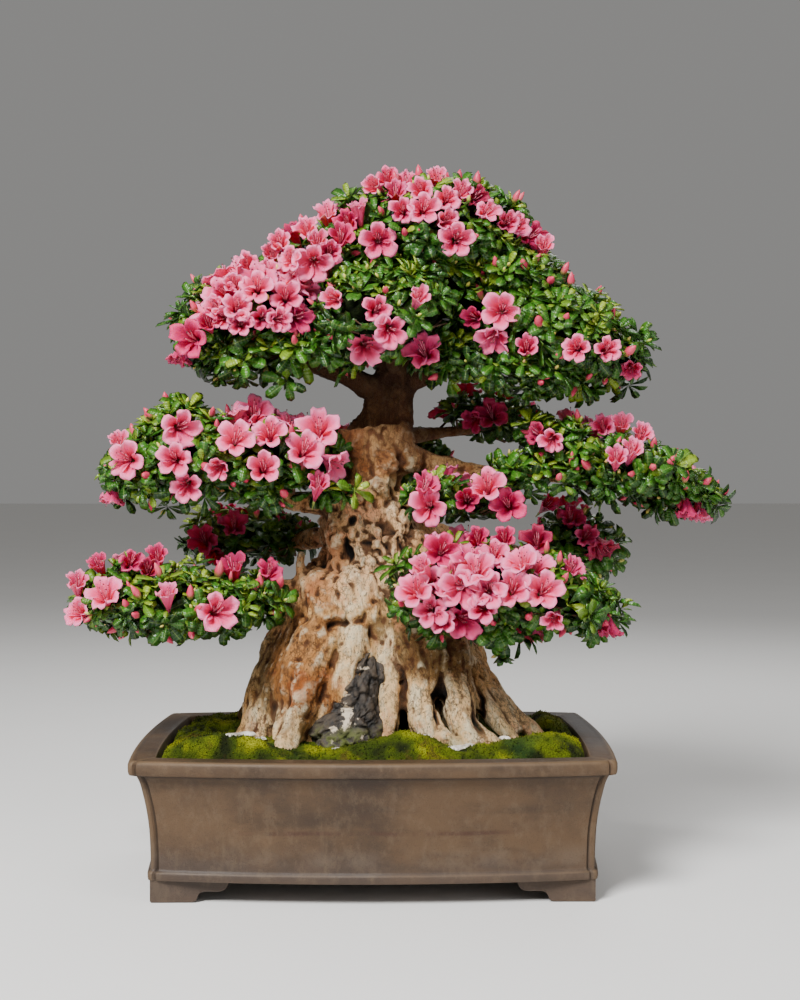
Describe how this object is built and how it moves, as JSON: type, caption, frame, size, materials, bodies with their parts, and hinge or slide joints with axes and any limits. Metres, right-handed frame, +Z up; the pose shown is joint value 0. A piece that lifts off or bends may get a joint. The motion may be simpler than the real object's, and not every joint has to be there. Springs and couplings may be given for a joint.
{
  "type": "satsuki azalea bonsai",
  "caption": "Flowering satsuki azalea bonsai with a flared root base, layered leaf pads and pink blooms, in a rectangular stoneware pot on cloud-cut feet.",
  "frame": {"origin": "on the table, under the middle of the whole plant's bounding box", "axes": "+Z up, +Y towards the back, +X to the right seen from the front"},
  "size_m": [0.7694, 0.4386, 0.855],
  "materials": {
    "stoneware": "matte",
    "plastic_mesh": "matte",
    "soil": "matte",
    "moss": "matte",
    "bark": "matte",
    "stone": "matte",
    "leaf": "satin",
    "petal": "satin"
  },
  "bodies": {
    "root": {"pot": "stoneware", "drain_screen_left": "plastic_mesh", "drain_screen_right": "plastic_mesh", "soil": "soil", "moss": "moss", "stone": "stone", "trunk_roots_branches": "bark", "flowers_crown_01": "petal", "flowers_crown_02": "petal", "flowers_crown_03": "petal", "flowers_crown_04": "petal", "flowers_crown_05": "petal", "flowers_crown_06": "petal", "flowers_crown_07": "petal", "flowers_crown_08": "petal", "flowers_crown_09": "petal", "flowers_crown_10": "petal", "flowers_crown_11": "petal", "flowers_crown_12": "petal", "flowers_crown_13": "petal", "flowers_crown_14": "petal", "flowers_left_middle_01": "petal", "flowers_left_middle_02": "petal", "flowers_left_middle_03": "petal", "flowers_right_middle_01": "petal", "flowers_right_middle_02": "petal", "flowers_right_middle_03": "petal", "flowers_right_middle_04": "petal", "flowers_back_right_01": "petal", "flowers_back_right_02": "petal", "flowers_back_right_03": "petal", "flowers_left_low_01": "petal", "flowers_left_low_02": "petal", "flowers_left_low_03": "petal", "flowers_left_back_01": "petal", "flowers_left_back_02": "petal", "flowers_left_back_03": "petal", "flowers_right_low_01": "petal", "flowers_right_low_02": "petal", "flowers_right_low_03": "petal", "flowers_right_low_04": "petal", "flowers_right_upper_01": "petal", "flowers_right_upper_02": "petal", "flowers_right_upper_03": "petal", "flowers_right_back_01": "petal", "flowers_right_back_02": "petal", "flowers_right_back_03": "petal", "flowers_back_01": "petal", "flowers_back_02": "petal", "leaves_crown": "leaf", "leaves_left_middle": "leaf", "leaves_right_middle": "leaf", "leaves_back_right": "leaf", "leaves_left_low": "leaf", "leaves_left_back": "leaf", "leaves_right_low": "leaf", "leaves_right_upper": "leaf", "leaves_right_back": "leaf", "leaves_back": "leaf"}
  },
  "joints": []
}
